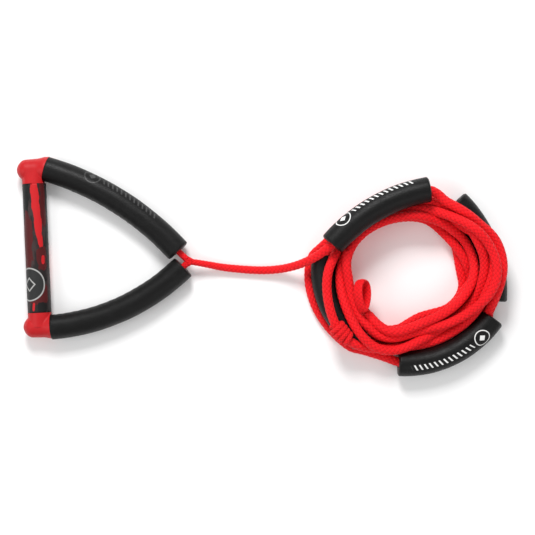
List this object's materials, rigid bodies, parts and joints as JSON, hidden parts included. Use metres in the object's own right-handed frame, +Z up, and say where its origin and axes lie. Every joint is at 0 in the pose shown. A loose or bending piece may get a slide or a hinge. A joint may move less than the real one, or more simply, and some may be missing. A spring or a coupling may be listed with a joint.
{
  "type": "wakesurf tow rope with floating handle",
  "caption": "Tow rope for surfing behind a boat: a short foam grip on a forked floating bridle, with its braided line coiled up through foam line floats.",
  "frame": {"origin": "bottom centre of the handle and its bridle, on the ground the rope lies on", "axes": "+Z up from the ground, +Y along the handle bar, +X from the bar towards the coiled line"},
  "size_m": [0.6153, 0.298, 0.066],
  "materials": {
    "bar_tube": "drawn",
    "grip_foam": "printed foam",
    "cap_rubber": "moulded satin",
    "float_foam": "closed-cell foam",
    "line_rope": "braided"
  },
  "bodies": {
    "line": {"mainline_lead": "line_rope", "rope_coil": "line_rope", "tow_eye": "line_rope", "line_float_1": "float_foam", "line_float_2": "float_foam", "line_float_3": "float_foam", "line_float_4": "float_foam"},
    "apex": {"apex_splice": "line_rope"},
    "bridle": {"upper_bridle_float": "float_foam", "lower_bridle_float": "float_foam", "upper_bridle_leg": "line_rope", "lower_bridle_leg": "line_rope"},
    "handle": {"handle_tube": "bar_tube", "grip_sleeve": "grip_foam", "upper_end_cap": "cap_rubber", "lower_end_cap": "cap_rubber", "handle_rope": "line_rope"}
  },
  "joints": [
    {"name": "line_swing", "type": "hinge", "parent": "line", "child": "apex", "pos_m": [0.1038, -0.025, 0.0159], "axis": [0, 0, 1], "range_deg": [-40, 40]},
    {"name": "line_pitch", "type": "hinge", "parent": "apex", "child": "bridle", "pos_m": [0.1038, -0.025, 0.0159], "axis": [0, 1, 0], "range_deg": [-30, 30]},
    {"name": "handle_fold", "type": "hinge", "parent": "bridle", "child": "handle", "pos_m": [-0.0545, 0, 0.0159], "axis": [0, 1, 0], "range_deg": [-75, 75]}
  ]
}
